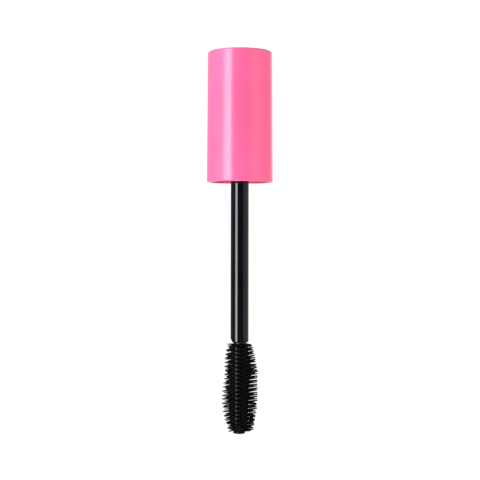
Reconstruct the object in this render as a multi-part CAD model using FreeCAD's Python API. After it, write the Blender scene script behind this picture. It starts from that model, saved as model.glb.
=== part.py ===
"""Mascara cap with its applicator wand, brush down.

The origin is the centre of the cap's rim plane. +Z runs up through the cap, the wand and
the brush hang along -Z, and the front is -Y. All sizes are in millimetres.
"""
import math
import os

import FreeCAD
import Part

# outer cap: a thin pink shell with moulding draft
CAP_HEIGHT = 34.7
CAP_RIM_R = 8.78
CAP_TOP_R = 8.55
CAP_ROOF = 1.5
CAP_TOP_EDGE_R = 0.45
CAP_RIM_EDGE_R = 0.3
CAP_BORE_RIM_R = 7.55
CAP_BORE_TOP_R = 7.4
CAP_BORE_EDGE = 0.25
CAP_SNAP_Z = 4.0
CAP_SNAP_STAND = 0.28
RIB_COUNT = 8
RIB_WIDTH = 0.9
STOP_RIB_IN_R = 5.6
KEY_RIB_IN_R = 7.05
KEY_RIB_FROM_Z = 7.0

# inner cap: the threaded insert that the shell is pressed over
INSERT_FROM_Z = 4.4
INSERT_TO_Z = 21.8
INSERT_R = 7.3
INSERT_FLANGE_R = 7.42
INSERT_FLANGE = 1.2
GROOVE_WIDTH = 1.0
GROOVE_BOTTOM_R = 7.0
DECK_FROM_Z = 15.5
DECK = 1.5
THREAD_CREST_R = 5.85
THREAD_ROOT_R = 6.5
THREAD_PITCH = 2.117
THREAD_TURNS = 3.0
THREAD_FROM_Z = 6.2
THREAD_FOOT = 1.45
THREAD_FLAT = 0.6
MOUTH_CHAMFER = 0.55
SOCKET_R = 3.1
SOCKET_TO_Z = 21.4
UPPER_CUP_R = 6.3

# seal washer under the insert's deck
WASHER = 0.8
WASHER_R = 5.7
WASHER_HOLE_R = 2.05
WASHER_EDGE = 0.12

# stem: the wand and the plug that snaps into the insert's socket
STEM_R = 2.4
STEM_END_Z = -42.65
STEM_END_ROUND = 0.4
END_FACET_FROM_Z = -41.65
END_FACET_TILT = 31.0
STEM_FLANGE = 0.8
STEM_FLANGE_R = 3.1
PLUG_R = 1.9
PLUG_TO_Z = 20.9
PLUG_BARB_Z = 19.0
PLUG_BARB = 0.25
PLUG_BARB_RISE = 0.9
PLUG_FLAT_Y = 1.6
PLUG_RELIEF_R = 0.9
PLUG_RELIEF = 4.5
PLUG_PLAY = 0.05
GATE_Z = -41.7
GATE_ANGLE = 13.5
GATE_BALL_R = 1.5
GATE_DEPTH = 0.12

# brush core: a stiff spindle with a barbed shank inside the stem's end
SHANK_R = 1.2
SHANK_TO_Z = -34.4
SHANK_BARB_Z = -38.4
SHANK_BARB = 0.2
SHANK_PLAY = 0.04
SHOULDER_R = 1.62
SPINDLE_R = 1.1
SPINDLE_END_Z = -65.9
SPINDLE_FLATS = 0.9

# bristle sleeve: a soft barrel with rings of tapered tines
SLEEVE_FROM_Z = -42.95
SLEEVE_R = 2.3
SLEEVE_TOP_ROUND = 0.9
SLEEVE_TAPER = 3.2
SLEEVE_TAPER_MID_R = 2.12
SLEEVE_END_Z = -66.95
SLEEVE_END_R = 1.55
SLEEVE_END_ROUND = 0.3
FIRST_RING_Z = -43.2
LAST_RING_Z = -66.1
RING_COUNT = 43
TINES_PER_RING = 8
TINE_FOOT_R = 0.2
TINE_TIP_R = 0.12
TINE_ROOT_IN = 0.25
FIRST_TINE_ANGLE = 7.0
ODD_RING_RISE = 0.1
# share of the way down the brush, and the radius that the tine tips reach there
TIP_PROFILE = (
    (0.00, 3.30),
    (0.08, 3.76),
    (0.20, 4.20),
    (0.32, 4.47),
    (0.45, 4.60),
    (0.55, 4.75),
    (0.66, 4.80),
    (0.74, 4.62),
    (0.82, 4.33),
    (0.90, 3.98),
    (1.00, 3.40),
)

ORIGIN = FreeCAD.Vector(0, 0, 0)
UP = FreeCAD.Vector(0, 0, 1)


def point(radius, height):
    """A point of an XZ half section."""
    return FreeCAD.Vector(radius, 0, height)


def line(start, end):
    return Part.LineSegment(point(*start), point(*end)).toShape()


def arc(start, middle, end):
    return Part.Arc(point(*start), point(*middle), point(*end)).toShape()


def turned(edges):
    """A solid of revolution from a closed XZ half section."""
    face = Part.Face(Part.Wire(edges))
    return face.revolve(ORIGIN, UP, 360)


def turned_outline(points):
    """A solid of revolution from the straight-edged XZ half section through these points."""
    closed = list(points) + [points[0]]
    return turned([line(a, b) for a, b in zip(closed, closed[1:])])


def quarter(centre, radius, from_deg, to_deg):
    """Start, middle and end of a circular arc in the XZ half section."""
    middle_deg = (from_deg + to_deg) / 2
    spots = []
    for deg in (from_deg, middle_deg, to_deg):
        angle = math.radians(deg)
        spots.append((centre[0] + radius * math.cos(angle), centre[1] + radius * math.sin(angle)))
    return spots


def radial_block(in_r, out_r, width, from_z, to_z, angle):
    """A straight fin that runs outward along one radius."""
    corner = FreeCAD.Vector(in_r, -width / 2, from_z)
    block = Part.makeBox(out_r - in_r, width, to_z - from_z, corner)
    block.rotate(ORIGIN, UP, angle)
    return block


def rib_angles():
    return [360 * i / RIB_COUNT for i in range(RIB_COUNT)]


def cap_bore_r(height):
    """The drafted bore of the cap at one height."""
    return CAP_BORE_RIM_R + (CAP_BORE_TOP_R - CAP_BORE_RIM_R) * height / (CAP_HEIGHT - CAP_ROOF)


def cap_shell():
    """The hollow pink shell, with rounded edges and the snap bead that holds the insert."""
    top = quarter((CAP_TOP_R - CAP_TOP_EDGE_R, CAP_HEIGHT - CAP_TOP_EDGE_R), CAP_TOP_EDGE_R, 90, 0)
    rim = quarter((CAP_RIM_R - CAP_RIM_EDGE_R, CAP_RIM_EDGE_R), CAP_RIM_EDGE_R, 0, -90)
    ceiling = CAP_HEIGHT - CAP_ROOF
    bead_low = (cap_bore_r(CAP_SNAP_Z - 0.35), CAP_SNAP_Z - 0.35)
    bead_mid = (cap_bore_r(CAP_SNAP_Z) - CAP_SNAP_STAND, CAP_SNAP_Z)
    bead_high = (cap_bore_r(CAP_SNAP_Z + 0.35), CAP_SNAP_Z + 0.35)
    bore_foot = (cap_bore_r(CAP_BORE_EDGE), CAP_BORE_EDGE)
    bore_lip = (bore_foot[0] + CAP_BORE_EDGE, 0)
    return turned(
        [
            line((0, CAP_HEIGHT), top[0]),
            arc(*top),
            line(top[2], rim[0]),
            arc(*rim),
            line(rim[2], bore_lip),
            line(bore_lip, bore_foot),
            line(bore_foot, bead_low),
            arc(bead_low, bead_mid, bead_high),
            line(bead_high, (CAP_BORE_TOP_R, ceiling)),
            line((CAP_BORE_TOP_R, ceiling), (0, ceiling)),
            line((0, ceiling), (0, CAP_HEIGHT)),
        ]
    )


def outer_cap():
    """The shell with its key ribs beside the insert and its stop ribs above it."""
    shape = cap_shell()
    ceiling = CAP_HEIGHT - CAP_ROOF
    mid_wall_r = (CAP_BORE_TOP_R + CAP_TOP_R) / 2
    for angle in rib_angles():
        key = radial_block(KEY_RIB_IN_R, mid_wall_r, RIB_WIDTH, KEY_RIB_FROM_Z, INSERT_TO_Z, angle)
        stop = radial_block(STOP_RIB_IN_R, mid_wall_r, RIB_WIDTH, INSERT_TO_Z, ceiling + 0.5, angle)
        shape = shape.fuse([key, stop])
    return shape.removeSplitter()


def thread_cutter():
    """The helical groove that the neck's thread ridge runs in."""
    start = THREAD_CREST_R - 0.3
    foot = THREAD_FOOT + 0.3 * (THREAD_FOOT - THREAD_FLAT) / (THREAD_ROOT_R - THREAD_CREST_R)
    helix = Part.makeHelix(THREAD_PITCH, THREAD_PITCH * THREAD_TURNS, THREAD_ROOT_R)
    corners = [
        point(start, -foot / 2),
        point(THREAD_ROOT_R, -THREAD_FLAT / 2),
        point(THREAD_ROOT_R, THREAD_FLAT / 2),
        point(start, foot / 2),
    ]
    profile = Part.makePolygon(corners + [corners[0]])
    groove = Part.Wire(helix).makePipeShell([profile], True, True)
    groove.translate(FreeCAD.Vector(0, 0, THREAD_FROM_Z))
    return groove


def flat_slab(radius, from_z, to_z, flat_y):
    """The slab between two flats, wider than a bar of this radius."""
    corner = FreeCAD.Vector(-2 * radius, -flat_y, from_z)
    return Part.makeBox(4 * radius, 2 * flat_y, to_z - from_z, corner)


def flatted_bar(radius, from_z, to_z, flat_y):
    """A round bar with two flats, which stop it turning in its socket."""
    bar = Part.makeCylinder(radius, to_z - from_z, FreeCAD.Vector(0, 0, from_z))
    return bar.common(flat_slab(radius, from_z, to_z, flat_y))


def barb(bore_r, stand, from_z, rise):
    """A snap ring: a steep shoulder below and a long lead above."""
    return turned_outline(
        [
            (bore_r - 0.4, from_z),
            (bore_r + stand, from_z),
            (bore_r + stand, from_z + rise / 3),
            (bore_r, from_z + rise),
            (bore_r - 0.4, from_z + rise),
        ]
    )


def inner_cap():
    """The threaded insert: skirt, deck, wand socket and the cup above the deck."""
    deck_top = DECK_FROM_Z + DECK
    body = turned_outline(
        [
            (THREAD_CREST_R + MOUTH_CHAMFER, INSERT_FROM_Z),
            (INSERT_FLANGE_R, INSERT_FROM_Z),
            (INSERT_FLANGE_R, INSERT_FROM_Z + INSERT_FLANGE - 0.3),
            (INSERT_R, INSERT_FROM_Z + INSERT_FLANGE),
            (INSERT_R, INSERT_TO_Z - 0.4),
            (INSERT_R - 0.4, INSERT_TO_Z),
            (UPPER_CUP_R, INSERT_TO_Z),
            (UPPER_CUP_R, deck_top),
            (SOCKET_R, deck_top),
            (SOCKET_R, SOCKET_TO_Z - 0.3),
            (SOCKET_R - 0.3, SOCKET_TO_Z),
            (0, SOCKET_TO_Z),
            (0, DECK_FROM_Z),
            (THREAD_CREST_R, DECK_FROM_Z),
            (THREAD_CREST_R, INSERT_FROM_Z + MOUTH_CHAMFER),
        ]
    )
    cutters = [thread_cutter()]
    for angle in rib_angles():
        groove_from = INSERT_FROM_Z + INSERT_FLANGE + 0.2
        cutters.append(
            radial_block(GROOVE_BOTTOM_R, INSERT_R + 1, GROOVE_WIDTH, groove_from, INSERT_TO_Z + 1, angle)
        )
    socket_r = PLUG_R + PLUG_PLAY
    flat_y = PLUG_FLAT_Y + PLUG_PLAY
    cutters.append(flatted_bar(socket_r, DECK_FROM_Z - 1, SOCKET_TO_Z + 1, flat_y))
    ring = barb(socket_r, PLUG_BARB, PLUG_BARB_Z - PLUG_PLAY, PLUG_BARB_RISE + 2 * PLUG_PLAY)
    cutters.append(ring.common(flat_slab(socket_r, DECK_FROM_Z, SOCKET_TO_Z, flat_y)))
    return body.cut(cutters)


def seal_washer():
    """The flat liner ring, clamped by the stem's flange and pressed by the neck's lip."""
    low = DECK_FROM_Z - WASHER
    return turned_outline(
        [
            (WASHER_HOLE_R, low),
            (WASHER_R - WASHER_EDGE, low),
            (WASHER_R, low + WASHER_EDGE),
            (WASHER_R, DECK_FROM_Z),
            (WASHER_HOLE_R, DECK_FROM_Z),
        ]
    )


def stem_rod():
    """The wand below the insert, with the flange that clamps the washer."""
    flange_top = DECK_FROM_Z - WASHER
    flange_low = flange_top - STEM_FLANGE
    end = quarter((STEM_R - STEM_END_ROUND, STEM_END_Z + STEM_END_ROUND), STEM_END_ROUND, 0, -90)
    return turned(
        [
            line((0, flange_top), (STEM_FLANGE_R, flange_top)),
            line((STEM_FLANGE_R, flange_top), (STEM_FLANGE_R, flange_low + 0.2)),
            line((STEM_FLANGE_R, flange_low + 0.2), (STEM_FLANGE_R - 0.2, flange_low)),
            line((STEM_FLANGE_R - 0.2, flange_low), (STEM_R, flange_low)),
            line((STEM_R, flange_low), end[0]),
            arc(*end),
            line(end[2], (0, STEM_END_Z)),
            line((0, STEM_END_Z), (0, flange_top)),
        ]
    )


def stem_plug():
    """The flatted, barbed plug with its relief bore."""
    flange_top = DECK_FROM_Z - WASHER
    bar = Part.makeCylinder(PLUG_R, PLUG_TO_Z - flange_top, FreeCAD.Vector(0, 0, flange_top))
    bar = bar.fuse(barb(PLUG_R, PLUG_BARB, PLUG_BARB_Z, PLUG_BARB_RISE))
    plug = bar.common(flat_slab(PLUG_R, flange_top, PLUG_TO_Z, PLUG_FLAT_Y))
    relief_from = FreeCAD.Vector(0, 0, PLUG_TO_Z - PLUG_RELIEF)
    return plug.cut(Part.makeCylinder(PLUG_RELIEF_R, PLUG_RELIEF, relief_from))


def gate_dimple():
    """The ball that leaves the shallow gate mark near the wand's lower end."""
    reach = STEM_R + GATE_BALL_R - GATE_DEPTH
    angle = math.radians(GATE_ANGLE)
    centre = FreeCAD.Vector(reach * math.sin(angle), -reach * math.cos(angle), GATE_Z)
    return Part.makeSphere(GATE_BALL_R, centre)


def end_facet():
    """The block that slants off the left of the wand's lower end."""
    corner = FreeCAD.Vector(-STEM_R, -2 * STEM_R, -2 * STEM_R)
    block = Part.makeBox(STEM_R, 4 * STEM_R, 4 * STEM_R, corner)
    block.rotate(ORIGIN, FreeCAD.Vector(0, 1, 0), -END_FACET_TILT)
    block.translate(FreeCAD.Vector(-STEM_R, 0, END_FACET_FROM_Z))
    return block


def shank_outline(play, top_z):
    """The shank of the brush core, or with play the bore that takes it."""
    radius = SHANK_R + play
    stand = radius + SHANK_BARB
    low = STEM_END_Z
    return turned_outline(
        [
            (0, low),
            (radius, low),
            (radius, SHANK_BARB_Z - play),
            (stand, SHANK_BARB_Z - play),
            (stand, SHANK_BARB_Z + 0.3 + play),
            (radius, SHANK_BARB_Z + 1.1 + play),
            (radius, top_z - 0.4),
            (radius - 0.4, top_z),
            (0, top_z),
        ]
    )


def stem():
    """The black wand: plug, flange and rod, bored at the end for the brush."""
    shape = stem_rod().fuse(stem_plug())
    bore = shank_outline(SHANK_PLAY, SHANK_TO_Z + 0.3)
    return shape.cut([bore, gate_dimple(), end_facet()]).removeSplitter()


def spindle():
    """The flatted bar inside the sleeve."""
    return flatted_bar(SPINDLE_R, SPINDLE_END_Z, SLEEVE_FROM_Z, SPINDLE_FLATS)


def brush_core():
    """The stiff spindle: shank in the wand, shoulder at its end, flatted bar in the sleeve."""
    shank = shank_outline(0, SHANK_TO_Z)
    shoulder_low = FreeCAD.Vector(0, 0, SLEEVE_FROM_Z)
    shoulder = Part.makeCylinder(SHOULDER_R, STEM_END_Z - SLEEVE_FROM_Z, shoulder_low)
    return shank.fuse([shoulder, spindle()]).removeSplitter()


def sleeve():
    """The soft barrel under the tines, with a round shoulder and a blunt end."""
    taper_from = LAST_RING_Z + SLEEVE_TAPER
    top = (SHOULDER_R, SLEEVE_FROM_Z)
    shoulder = (SLEEVE_R, SLEEVE_FROM_Z - SLEEVE_TOP_ROUND)
    shoulder_mid = (SHOULDER_R + 0.5, SLEEVE_FROM_Z - 0.28)
    taper_mid = (SLEEVE_TAPER_MID_R, (taper_from + LAST_RING_Z) / 2)
    nose = (SLEEVE_END_R, LAST_RING_Z - 0.1)
    end_centre = (SLEEVE_END_R - SLEEVE_END_ROUND, SLEEVE_END_Z + SLEEVE_END_ROUND)
    end = quarter(end_centre, SLEEVE_END_ROUND, 0, -90)
    return turned(
        [
            line((0, SLEEVE_FROM_Z), top),
            arc(top, shoulder_mid, shoulder),
            line(shoulder, (SLEEVE_R, taper_from)),
            arc((SLEEVE_R, taper_from), taper_mid, nose),
            line(nose, end[0]),
            arc(*end),
            line(end[2], (0, SLEEVE_END_Z)),
            line((0, SLEEVE_END_Z), (0, SLEEVE_FROM_Z)),
        ]
    )


def tip_radius(share):
    """The radius that the tine tips reach, from the brush's barrel profile."""
    for (low, low_r), (high, high_r) in zip(TIP_PROFILE, TIP_PROFILE[1:]):
        if share <= high:
            return low_r + (high_r - low_r) * (share - low) / (high - low)
    return TIP_PROFILE[-1][1]


def tine(height, tip_r, angle_deg):
    """One tapered tine that stands straight out of the sleeve."""
    angle = math.radians(angle_deg)
    outward = FreeCAD.Vector(math.cos(angle), math.sin(angle), 0)
    root_r = SLEEVE_END_R - TINE_ROOT_IN
    start = outward * root_r + FreeCAD.Vector(0, 0, height)
    return Part.makeCone(TINE_FOOT_R, TINE_TIP_R, tip_r - root_r, start, outward)


def brush_bristles():
    """The sleeve with its rings of tines, every second ring turned by half a step."""
    step = 360 / TINES_PER_RING
    tines = []
    for ring in range(RING_COUNT):
        odd = ring % 2
        share = ring / (RING_COUNT - 1)
        height = FIRST_RING_Z + (LAST_RING_Z - FIRST_RING_Z) * share + ODD_RING_RISE * odd
        first_angle = FIRST_TINE_ANGLE + odd * step / 2
        for i in range(TINES_PER_RING):
            tines.append(tine(height, tip_radius(share), first_angle + step * i))
    return sleeve().cut(spindle()).fuse(tines)


PARTS = {
    "outer_cap": outer_cap,
    "inner_cap": inner_cap,
    "seal_washer": seal_washer,
    "stem": stem,
    "brush_core": brush_core,
    "brush_bristles": brush_bristles,
}

os.makedirs("parts", exist_ok=True)
for name, make in PARTS.items():
    shape = make()
    shape.exportStep("parts/" + name + ".step")
    print(name, "solids", len(shape.Solids), "valid", shape.isValid(), "volume", round(shape.Volume, 2))
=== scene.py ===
import math
import random

import bmesh
import bpy
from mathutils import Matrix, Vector


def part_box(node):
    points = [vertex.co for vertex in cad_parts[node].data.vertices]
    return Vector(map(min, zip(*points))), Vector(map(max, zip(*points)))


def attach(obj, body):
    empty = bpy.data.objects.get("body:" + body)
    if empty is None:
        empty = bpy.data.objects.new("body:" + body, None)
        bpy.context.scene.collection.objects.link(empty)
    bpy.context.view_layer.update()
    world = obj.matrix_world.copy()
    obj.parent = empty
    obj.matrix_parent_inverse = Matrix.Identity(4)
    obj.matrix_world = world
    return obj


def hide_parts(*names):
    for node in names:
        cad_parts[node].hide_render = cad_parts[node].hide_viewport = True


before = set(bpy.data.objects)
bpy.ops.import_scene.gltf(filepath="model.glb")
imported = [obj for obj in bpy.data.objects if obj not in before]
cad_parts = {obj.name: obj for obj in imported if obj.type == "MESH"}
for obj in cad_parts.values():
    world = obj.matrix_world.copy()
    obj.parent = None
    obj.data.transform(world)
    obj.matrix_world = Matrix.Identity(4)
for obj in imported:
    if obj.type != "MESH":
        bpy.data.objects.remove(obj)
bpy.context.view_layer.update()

MM = 0.001


# ---------------------------------------------------------------- node helpers

RAMP_START = 0.35
RAMP_END = 0.65
# a Mix node has its own sockets for each data type: the two inputs and the result
MIX_SOCKETS = {"FLOAT": (2, 3, 0), "RGBA": (6, 7, 2)}


def new_material(name):
    """A material with a Principled shader and nothing else but its output."""
    mat = bpy.data.materials.new(name)
    mat.use_nodes = True
    tree = mat.node_tree
    tree.nodes.clear()
    shader = tree.nodes.new("ShaderNodeBsdfPrincipled")
    out = tree.nodes.new("ShaderNodeOutputMaterial")
    tree.links.new(shader.outputs[0], out.inputs["Surface"])
    return mat, tree, shader


def noise(tree, scale, detail, rough=0.5):
    """Solid noise in object space. The scale is in cells to the metre."""
    coords = tree.nodes.new("ShaderNodeTexCoord")
    tex = tree.nodes.new("ShaderNodeTexNoise")
    tex.inputs["Scale"].default_value = scale
    tex.inputs["Detail"].default_value = detail
    tex.inputs["Roughness"].default_value = rough
    tree.links.new(coords.outputs["Object"], tex.inputs["Vector"])
    return tex.outputs[0]


def ramp(tree, value, dark, light):
    """Turns a 0..1 value into a blend of two colours."""
    node = tree.nodes.new("ShaderNodeValToRGB")
    node.color_ramp.elements[0].position = RAMP_START
    node.color_ramp.elements[1].position = RAMP_END
    node.color_ramp.elements[0].color = (*dark, 1)
    node.color_ramp.elements[1].color = (*light, 1)
    tree.links.new(value, node.inputs["Fac"])
    return node.outputs["Color"]


def map_range(tree, value, source=(0, 1), target=(0, 1)):
    """Maps a value from the source range to the target range, and clamps it to that."""
    node = tree.nodes.new("ShaderNodeMapRange")
    for socket, number in zip(("From Min", "From Max", "To Min", "To Max"), (*source, *target)):
        node.inputs[socket].default_value = number
    tree.links.new(value, node.inputs["Value"])
    return node.outputs[0]


def combine(tree, operation, a, b):
    """One value made from two by a Math node."""
    node = tree.nodes.new("ShaderNodeMath")
    node.operation = operation
    tree.links.new(a, node.inputs[0])
    tree.links.new(b, node.inputs[1])
    return node.outputs[0]


def bump(tree, shader, layers):
    """Stacks bumps, each a (height output, depth in metres, strength), onto the shader's normal."""
    previous = None
    for height, depth, strength in layers:
        node = tree.nodes.new("ShaderNodeBump")
        node.inputs["Strength"].default_value = strength
        node.inputs["Distance"].default_value = depth
        tree.links.new(height, node.inputs["Height"])
        if previous is not None:
            tree.links.new(previous, node.inputs["Normal"])
        previous = node.outputs["Normal"]
    tree.links.new(previous, shader.inputs["Normal"])


def radius_and_height(tree):
    """The distance from the object's axis and the height, in metres."""
    coords = tree.nodes.new("ShaderNodeTexCoord")
    split = tree.nodes.new("ShaderNodeSeparateXYZ")
    tree.links.new(coords.outputs["Object"], split.inputs[0])
    flat = tree.nodes.new("ShaderNodeCombineXYZ")
    tree.links.new(split.outputs[0], flat.inputs[0])
    tree.links.new(split.outputs[1], flat.inputs[1])
    length = tree.nodes.new("ShaderNodeVectorMath")
    length.operation = "LENGTH"
    tree.links.new(flat.outputs[0], length.inputs[0])
    return length.outputs["Value"], split.outputs[2]


def change_where(tree, mask, socket, data_type, target):
    """Mixes what is linked to a socket towards a target where the mask is 1."""
    first, second, result = MIX_SOCKETS[data_type]
    mix = tree.nodes.new("ShaderNodeMix")
    mix.data_type = data_type
    tree.links.new(mask, mix.inputs[0])
    tree.links.new(socket.links[0].from_socket, mix.inputs[first])
    mix.inputs[second].default_value = target
    tree.links.new(mix.outputs[result], socket)


# ---------------------------------------------------------------- materials

PLASTIC_IOR = 1.5
SHEEN_ROUGHNESS = 0.45
SUBSURFACE_DEPTH = 1.2 * MM
SUBSURFACE_COLOUR = (1.0, 0.35, 0.5)
PATCHES_PER_DRIFT = 3.1


def plastic(name, dark, light, rough, drift_scale, layers, level=0.5, sheen=0.0, subsurface=0.0):
    """Moulded plastic: a slow drift of colour, patches of roughness and layers of bump.

    Each layer is (cells to the metre, detail, depth in metres, strength).
    """
    mat, tree, shader = new_material(name)
    drift = noise(tree, drift_scale, detail=3.0)
    tree.links.new(ramp(tree, drift, dark, light), shader.inputs["Base Color"])
    patches = noise(tree, drift_scale * PATCHES_PER_DRIFT, detail=4.0, rough=0.6)
    tree.links.new(map_range(tree, patches, target=rough), shader.inputs["Roughness"])
    shader.inputs["IOR"].default_value = PLASTIC_IOR
    shader.inputs["Specular IOR Level"].default_value = level
    shader.inputs["Sheen Weight"].default_value = sheen
    shader.inputs["Sheen Roughness"].default_value = SHEEN_ROUGHNESS
    if subsurface:
        shader.inputs["Subsurface Weight"].default_value = subsurface
        shader.inputs["Subsurface Radius"].default_value = SUBSURFACE_COLOUR
        shader.inputs["Subsurface Scale"].default_value = SUBSURFACE_DEPTH
    built = []
    for scale, detail, depth, strength in layers:
        built.append((noise(tree, scale, detail), depth, strength))
    bump(tree, shader, built)
    return mat


CAP_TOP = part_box("outer_cap")[1].z
# the zones of the cap: where each one starts and where it is full, in metres
BORE_RADIUS = (8.1 * MM, 7.9 * MM)
UNDER_ROOF = (CAP_TOP - 0.7 * MM, CAP_TOP - 0.9 * MM)
RIM_FLAT = (0.10 * MM, 0.02 * MM)
TOP_EDGE = (CAP_TOP - 0.52 * MM, CAP_TOP - 0.30 * MM)
TOP_EDGE_RADIUS = (8.08 * MM, 8.16 * MM)
# painted shade: the bore and the rim's flat are coloured a little darker than the outer pink
INSIDE_PAINTED_SHADE_COLOUR = (0.92, 0.095, 0.235)
INSIDE_ROUGHNESS = 0.60
# painted shade: the colour of a darker, greyer line along the rounded top edge
TOP_EDGE_PAINTED_SHADE = (0.60, 0.130, 0.250)


def pink_plastic():
    """Glossy pink. The bore and the rim's flat are rougher, and painted shade darkens their colour a
    little. A painted shade line, greyer and darker, runs along the top edge.
    """
    mat = plastic(
        "pink_gloss_plastic",
        dark=(0.95, 0.100, 0.248),
        light=(0.98, 0.110, 0.268),
        rough=(0.22, 0.28),
        drift_scale=60,
        layers=[(420, 2.0, 0.012 * MM, 0.30), (5200, 2.0, 0.0015 * MM, 0.25)],
        sheen=0.35,
        subsurface=0.15,
    )
    tree = mat.node_tree
    shader = next(n for n in tree.nodes if n.type == "BSDF_PRINCIPLED")
    colour = shader.inputs["Base Color"]
    radius, height = radius_and_height(tree)
    in_bore = map_range(tree, radius, source=BORE_RADIUS)
    under_roof = map_range(tree, height, source=UNDER_ROOF)
    on_rim = map_range(tree, height, source=RIM_FLAT)
    dull_and_painted_shade_zone = combine(tree, "MAXIMUM", combine(tree, "MULTIPLY", in_bore, under_roof), on_rim)
    # in the bore and on the rim's flat: a rougher surface, and painted shade in the colour
    change_where(tree, dull_and_painted_shade_zone, colour, "RGBA", (*INSIDE_PAINTED_SHADE_COLOUR, 1))
    change_where(tree, dull_and_painted_shade_zone, shader.inputs["Roughness"], "FLOAT", INSIDE_ROUGHNESS)
    # painted shade along the rounded top edge, stopping short of the flat top face
    at_top = map_range(tree, height, source=TOP_EDGE)
    off_face = map_range(tree, radius, source=TOP_EDGE_RADIUS)
    top_edge_shade_mask = combine(tree, "MULTIPLY", at_top, off_face)
    change_where(tree, top_edge_shade_mask, colour, "RGBA", (*TOP_EDGE_PAINTED_SHADE, 1))
    return mat


def wand_plastic():
    """Polished black with a cast of blue."""
    return plastic(
        "black_gloss_plastic",
        dark=(0.0019, 0.0016, 0.0038),
        light=(0.0035, 0.0030, 0.0058),
        rough=(0.06, 0.09),
        drift_scale=90,
        layers=[(260, 1.0, 0.003 * MM, 0.25), (2600, 1.0, 0.0002 * MM, 0.2)],
    )


def insert_plastic():
    """Satin black with a fine grain."""
    return plastic(
        "black_satin_plastic",
        dark=(0.010, 0.010, 0.011),
        light=(0.020, 0.019, 0.020),
        rough=(0.30, 0.42),
        drift_scale=160,
        layers=[(3800, 3.0, 0.012 * MM, 0.5), (600, 2.0, 0.01 * MM, 0.2)],
    )


def liner_foam():
    """Off-white foam with fine cells."""
    return plastic(
        "white_foam_liner",
        dark=(0.72, 0.71, 0.67),
        light=(0.84, 0.83, 0.80),
        rough=(0.70, 0.90),
        drift_scale=700,
        layers=[(5200, 4.0, 0.05 * MM, 0.6), (1500, 2.0, 0.03 * MM, 0.3)],
    )


def spindle_plastic():
    """Satin black, a little bluer than the insert."""
    return plastic(
        "black_spindle_plastic",
        dark=(0.0026, 0.0025, 0.0034),
        light=(0.0050, 0.0048, 0.0060),
        rough=(0.30, 0.42),
        drift_scale=200,
        layers=[(4200, 3.0, 0.01 * MM, 0.4)],
    )


def bristle_elastomer():
    """Soft black with a weak, fairly sharp reflection."""
    return plastic(
        "black_bristle_elastomer",
        dark=(0.0020, 0.0019, 0.0027),
        light=(0.0034, 0.0033, 0.0045),
        rough=(0.12, 0.19),
        drift_scale=900,
        layers=[(6000, 3.0, 0.003 * MM, 0.35)],
        level=0.09,
    )


# each CAD node that is kept, and what makes its material
KEPT_NODES = {
    "outer_cap": pink_plastic,
    "inner_cap": insert_plastic,
    "seal_washer": liner_foam,
    "stem": wand_plastic,
    "brush_core": spindle_plastic,
}
for node_name, make_material in KEPT_NODES.items():
    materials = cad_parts[node_name].data.materials
    materials.clear()
    materials.append(make_material())


# ---------------------------------------------------------------- the brush, in millimetres

brush_low, brush_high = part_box("brush_bristles")
SLEEVE_TOP_Z = brush_high.z / MM
SLEEVE_END_Z = brush_low.z / MM

# the rings of tines: even rings use the even slots round the barrel, and odd rings the odd ones
RINGS = 43
TINES = 8
SLOTS = TINES * 2
FIRST_Z = SLEEVE_TOP_Z - 0.25
LAST_Z = SLEEVE_END_Z + 0.85
ODD_RISE = 0.1
FIRST_ANGLE = 7.0

# the barrel: a rounded shoulder, a straight length, a taper to a nose with a rounded edge, and the
# core's flatted bore
SHOULDER_R = 1.62
SHOULDER_DROP = 0.9
SLEEVE_R = 2.3
TAPER_Z = LAST_Z + 3.2
NOSE_Z = LAST_Z - 0.1
NOSE_R = 1.55
EDGE_Z = SLEEVE_END_Z + 0.1
EDGE_R = NOSE_R - 0.07
NOSE_ROWS = (NOSE_Z - 0.28, SLEEVE_END_Z + 0.25, SLEEVE_END_Z + 0.07)
END_RADII = (1.25, 0.55)
BORE_R = 1.1
BORE_FLAT = 0.9
BORE_END_Z = SLEEVE_END_Z + 1.05
BORE_MIDDLE_R = 0.4
RIM_CREASE = 0.8

# one tine: half its width at its cell of the skin, its foot and its tip, and its rounded end
CELL_HALF = 0.205
FOOT_HALF = 0.250
FOOT_NARROWING = 0.93
TIP_HALF = 0.175
TIP_LENGTH = 0.10
SHAFT_STEPS = 5
# distance from the very tip, and share of the tip's half width there
TIP_ROUNDING = ((0.035, 0.86), (0.0, 0.5))

# share of the way down the brush, and how far from the axis the tips reach there
TIP_PROFILE = (
    (0.00, 3.30),
    (0.08, 3.76),
    (0.20, 4.20),
    (0.32, 4.47),
    (0.45, 4.60),
    (0.55, 4.75),
    (0.66, 4.80),
    (0.74, 4.62),
    (0.82, 4.33),
    (0.90, 3.98),
    (1.00, 3.40),
)
# share of the way down the brush, and how far the soft tips are swept to the right there
TIP_SWEEP = (
    (0.00, -0.12),
    (0.14, -0.02),
    (0.32, 0.36),
    (0.50, 0.02),
    (0.74, -0.05),
    (0.88, 0.20),
    (1.00, 0.32),
)

# how the tines differ: by how far to the right they point, by ring, and at random
SEED = 11
LENGTH_SHARE = 1.005
LENGTH_TO_RIGHT = 0.022
LENGTH_SPREAD = 0.025
LEAN_TO_RIGHT = 0.32
LEAN_SPREAD = 0.06
# over this many rings at the top, the tines go from straight out to their full lean
STRAIGHT_RINGS = 4
# even and odd rings lean towards each other, most of all at this share of the way down the brush
PAIR_LEAN = 0.10
PAIR_SHARE = 0.46
PAIR_WIDTH = 0.22
SWAY_SPREAD = 0.10
CURL_SPREAD = 0.05
THICK_TO_RIGHT = 0.13
THICK_SPREAD = 0.06


def ring_z(i):
    """The height of ring i, with the odd rings raised a little."""
    return FIRST_Z + (LAST_Z - FIRST_Z) * i / (RINGS - 1) + ODD_RISE * (i % 2)


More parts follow.
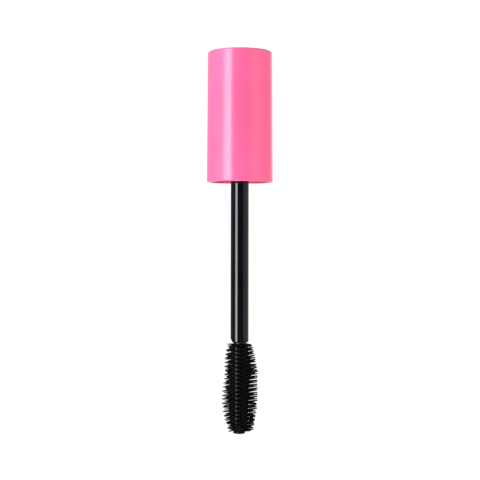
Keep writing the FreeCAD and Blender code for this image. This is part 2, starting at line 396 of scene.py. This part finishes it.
def slot_angle(slot):
    """The angle of the middle of a slot, anticlockwise from the right as seen from above."""
    return math.radians(FIRST_ANGLE + slot * 360 / SLOTS)


def along(profile, i):
    """The value that a profile of (share of the way down, value) has at ring i."""
    share = i / (RINGS - 1)
    for (a, low), (b, high) in zip(profile, profile[1:]):
        if share <= b:
            return low + (high - low) * (share - a) / (b - a)


def sleeve_r(z):
    """The barrel's radius at one height, close to the CAD sleeve's."""
    if z > SLEEVE_TOP_Z - SHOULDER_DROP:
        t = (SLEEVE_TOP_Z - z) / SHOULDER_DROP
        return SHOULDER_R + (SLEEVE_R - SHOULDER_R) * math.sin(t * math.pi / 2)
    if z > TAPER_Z:
        return SLEEVE_R
    if z > NOSE_Z:
        t = (TAPER_Z - z) / (TAPER_Z - NOSE_Z)
        return SLEEVE_R - (SLEEVE_R - NOSE_R) * t * t
    return NOSE_R if z > EDGE_Z else EDGE_R


def circle(mesh, z, radius, flat=math.inf):
    """A ring of vertices at both edges of every slot's tine, cut flat at the front and back if asked."""
    ring = []
    for slot in range(SLOTS):
        for edge in (-1, 1):
            a = slot_angle(slot) + edge * FOOT_HALF / SLEEVE_R
            r = min(radius, flat / abs(math.sin(a)))
            ring.append(mesh.verts.new(Vector((r * math.cos(a), r * math.sin(a), z)) * MM))
    return ring


def join(mesh, upper, lower):
    """The band of faces between two rings of vertices."""
    band = []
    for c in range(len(upper)):
        d = (c + 1) % len(upper)
        face = mesh.faces.new((upper[c], lower[c], lower[d], upper[d]))
        face.smooth = True
        band.append(face)
    return band


def tine_shape(rng, i, angle):
    """A tine's length, how far its tip leans, sways and curls, and its thickness's share of the usual."""
    to_right = math.cos(angle)
    pair_lean = PAIR_LEAN * math.exp(-((i / (RINGS - 1) - PAIR_SHARE) / PAIR_WIDTH) ** 2)
    steady_lean = LEAN_TO_RIGHT * to_right + pair_lean * (1 if i % 2 else -1)
    length_share = LENGTH_SHARE + LENGTH_TO_RIGHT * to_right + rng.uniform(-LENGTH_SPREAD, LENGTH_SPREAD)
    length = along(TIP_PROFILE, i) * length_share
    lean = min(i / STRAIGHT_RINGS, 1) * steady_lean + rng.gauss(0, LEAN_SPREAD)
    sway = rng.gauss(0, SWAY_SPREAD)
    curl = rng.gauss(0, CURL_SPREAD)
    thick = 1 + THICK_TO_RIGHT * to_right + rng.uniform(-THICK_SPREAD, THICK_SPREAD)
    return length, lean, sway, curl, thick


def tine_sections(root_r, length):
    """The sections of a tine from foot to tip: share of the bend, distance from the axis, half width."""
    sections = []
    for s in range(1, SHAFT_STEPS + 1):
        share = s / SHAFT_STEPS
        half = FOOT_HALF + (TIP_HALF - FOOT_HALF) * share
        if s == 1:
            half = FOOT_HALF * FOOT_NARROWING
        sections.append((share, root_r + (length - TIP_LENGTH - root_r) * share, half))
    for short_of_tip, width_share in TIP_ROUNDING:
        sections.append((1.0, length - short_of_tip, TIP_HALF * width_share))
    return sections


def grow_tine(mesh, cell, rng, i, angle):
    """Draws a tine with four sides out of one cell of the skin, which it replaces."""
    out = Vector((math.cos(angle), math.sin(angle), 0))
    side = Vector((-math.sin(angle), math.cos(angle), 0))
    up = Vector((0, 0, 1))
    sweep = Vector((along(TIP_SWEEP, i), 0, 0))
    z = ring_z(i)
    length, lean, sway, curl, thick = tine_shape(rng, i, angle)
    previous = list(cell.verts)
    corners = []
    for v in previous:
        across = 1 if v.co.dot(side) > 0 else -1
        above = 1 if v.co.z > z * MM else -1
        corners.append(side * across + up * above)
    mesh.faces.remove(cell)
    for share, radial, half in tine_sections(sleeve_r(z), length):
        bent = share * share
        centre = out * radial + side * (sway * bent) + sweep * bent
        centre += up * (z + lean * share + curl * bent)
        section = []
        for corner in corners:
            section.append(mesh.verts.new((centre + corner * (half * thick)) * MM))
        for c in range(4):
            d = (c + 1) % 4
            mesh.faces.new((previous[c], previous[d], section[d], section[c])).smooth = True
        previous = section
    mesh.faces.new(previous).smooth = True


def crease_rims(mesh, rings):
    """Keeps the level edges between the vertices of some rings crisp when the skin is subdivided."""
    crease = mesh.edges.layers.float.new("crease_edge")
    sharp = {v for ring in rings for v in ring}
    for edge in mesh.edges:
        a, b = edge.verts
        if a in sharp and b in sharp and a.co.z == b.co.z:
            edge[crease] = RIM_CREASE


def build_brush():
    """One closed skin on the barrel and in its bore, with every tine drawn out of its own cell."""
    rng = random.Random(SEED)
    heights = [SLEEVE_TOP_Z]
    for i in range(RINGS):
        heights += [ring_z(i) + CELL_HALF, ring_z(i) - CELL_HALF]
    heights += NOSE_ROWS
    mesh = bmesh.new()
    outside = [circle(mesh, z, sleeve_r(z)) for z in heights]
    end = [circle(mesh, SLEEVE_END_Z, radius) for radius in END_RADII]
    bore = [
        circle(mesh, BORE_END_Z, BORE_MIDDLE_R),
        circle(mesh, BORE_END_Z, BORE_R, BORE_FLAT),
        circle(mesh, SLEEVE_TOP_Z, BORE_R, BORE_FLAT),
    ]
    rings = bore + outside + end
    bands = [join(mesh, upper, lower) for upper, lower in zip(rings, rings[1:])]
    mesh.faces.new(rings[0]).smooth = True
    mesh.faces.new(rings[-1][::-1]).smooth = True

    first_band = len(bore) + 1
    for i in range(RINGS):
        for n in range(TINES):
            slot = 2 * n + i % 2
            cell = bands[first_band + 2 * i][2 * slot]
            grow_tine(mesh, cell, rng, i, slot_angle(slot))
    bmesh.ops.recalc_face_normals(mesh, faces=mesh.faces)
    crease_rims(mesh, bore + outside[:1])

    data = bpy.data.meshes.new("bristle_sleeve")
    mesh.to_mesh(data)
    mesh.free()
    data.materials.append(bristle_elastomer())
    obj = bpy.data.objects.new("bristle_sleeve", data)
    bpy.context.scene.collection.objects.link(obj)
    subdivision = obj.modifiers.new("smooth", "SUBSURF")
    subdivision.levels = 1
    subdivision.render_levels = 1
    return obj


brush = build_brush()
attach(brush, "root")
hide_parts("brush_bristles")


# ---------------------------------------------------------------- stage, in metres

STAGE_WHITE = 1.05
BACKDROP_RADIUS = 3.0
FLOOR_RADIUS = 2.9
FLOOR_Z = -0.25
WORLD_LIGHT = 0.04


def glow(name):
    """A material of even white light."""
    mat = bpy.data.materials.new(name)
    mat.use_nodes = True
    tree = mat.node_tree
    tree.nodes.clear()
    emission = tree.nodes.new("ShaderNodeEmission")
    emission.inputs["Color"].default_value = (1, 1, 1, 1)
    emission.inputs["Strength"].default_value = STAGE_WHITE
    out = tree.nodes.new("ShaderNodeOutputMaterial")
    tree.links.new(emission.outputs[0], out.inputs["Surface"])
    return mat


def stage_surface(name, mesh, z):
    """A white surface that only the camera sees, so that it adds no light and no reflection."""
    data = bpy.data.meshes.new(name)
    mesh.to_mesh(data)
    mesh.free()
    data.materials.append(glow(name + "_white"))
    obj = bpy.data.objects.new(name, data)
    obj.location = (0, 0, z)
    obj.visible_diffuse = False
    obj.visible_glossy = False
    obj.visible_transmission = False
    obj.visible_volume_scatter = False
    obj.visible_shadow = False
    bpy.context.scene.collection.objects.link(obj)


sphere = bmesh.new()
bmesh.ops.create_uvsphere(sphere, u_segments=48, v_segments=24, radius=BACKDROP_RADIUS)
stage_surface("backdrop", sphere, 0)

disc = bmesh.new()
bmesh.ops.create_circle(disc, cap_ends=True, segments=96, radius=FLOOR_RADIUS)
stage_surface("floor", disc, FLOOR_Z)

world = bpy.data.worlds.new("studio")
world.use_nodes = True
background = world.node_tree.nodes["Background"]
background.inputs["Color"].default_value = (1, 1, 1, 1)
background.inputs["Strength"].default_value = WORLD_LIGHT
bpy.context.scene.world = world


# ---------------------------------------------------------------- lights, in metres and degrees

# the point that every light faces, near the middle of the object
AIM = Vector((0, 0, -0.016))

# name, azimuth, elevation, distance, width, height, radiance
SOFTBOXES = (
    ("strip_bright", -37.5, 0, 0.60, 0.15, 0.60, 10.2),
    ("strip_soft", -52, 0, 0.60, 0.16, 0.60, 6.5),
    ("right_panel", 85, 0, 0.80, 1.40, 0.80, 0.50),
    ("back_right_panel", 150, 0, 0.80, 0.60, 0.80, 0.50),
    ("back_left_panel", -125, 0, 0.80, 1.00, 0.80, 0.14),
    ("back_strip", 152, 0, 0.80, 0.16, 0.80, 0.8),
    ("top_panel", 180, 62, 0.80, 0.50, 0.50, 1.0),
    ("low_panel", 30, -62, 0.70, 0.40, 0.40, 2.5),
)
# these light diffuse surfaces only, so the pink is full and the black wand mirrors nothing more
FILLS = (
    ("fill_left", -78, 0, 0.70, 0.60, 0.70, 4.6),
    ("fill_right", 62, 0, 0.70, 0.60, 0.70, 3.5),
    ("fill_back", 180, 0, 0.80, 0.70, 0.70, 3.4),
    ("fill_top", 180, 62, 0.70, 0.60, 0.60, 2.4),
    ("fill_low", 0, -80, 0.70, 0.60, 0.60, 0.90),
)


def softbox(name, azimuth, elevation, distance, width, height, radiance):
    """A rectangular light. Azimuth 0 is the camera's side and positive is to the camera's right."""
    light = bpy.data.lights.new(name, "AREA")
    light.shape = "RECTANGLE"
    light.size = width
    light.size_y = height
    light.energy = radiance * math.pi * width * height
    obj = bpy.data.objects.new(name, light)
    a = math.radians(azimuth)
    e = math.radians(elevation)
    away = Vector((math.sin(a) * math.cos(e), -math.cos(a) * math.cos(e), math.sin(e)))
    obj.location = AIM + away * distance
    obj.rotation_mode = "QUATERNION"
    obj.rotation_quaternion = away.to_track_quat("Z", "Y")
    bpy.context.scene.collection.objects.link(obj)
    return obj


for row in SOFTBOXES:
    softbox(*row)
for row in FILLS:
    softbox(*row).visible_glossy = False


# ---------------------------------------------------------------- camera, in millimetres

SENSOR_WIDTH = 36.0
CAMERA_DISTANCE = 310
# how much the picture takes in from side to side at the object's axis
VIEW_WIDTH = 128
CAMERA_X = 0.07
CAMERA_Z = -15.376
CAMERA_ROLL = 0.10

camera_data = bpy.data.cameras.new("camera")
camera_data.sensor_width = SENSOR_WIDTH
camera_data.lens = SENSOR_WIDTH * CAMERA_DISTANCE / VIEW_WIDTH
camera = bpy.data.objects.new("camera", camera_data)
camera.location = (CAMERA_X * MM, -CAMERA_DISTANCE * MM, CAMERA_Z * MM)
camera.rotation_euler = (math.radians(90), 0, 0)
camera.rotation_euler.rotate_axis("Z", math.radians(CAMERA_ROLL))
bpy.context.scene.collection.objects.link(camera)
bpy.context.scene.camera = camera
bpy.context.scene.view_settings.view_transform = "Standard"
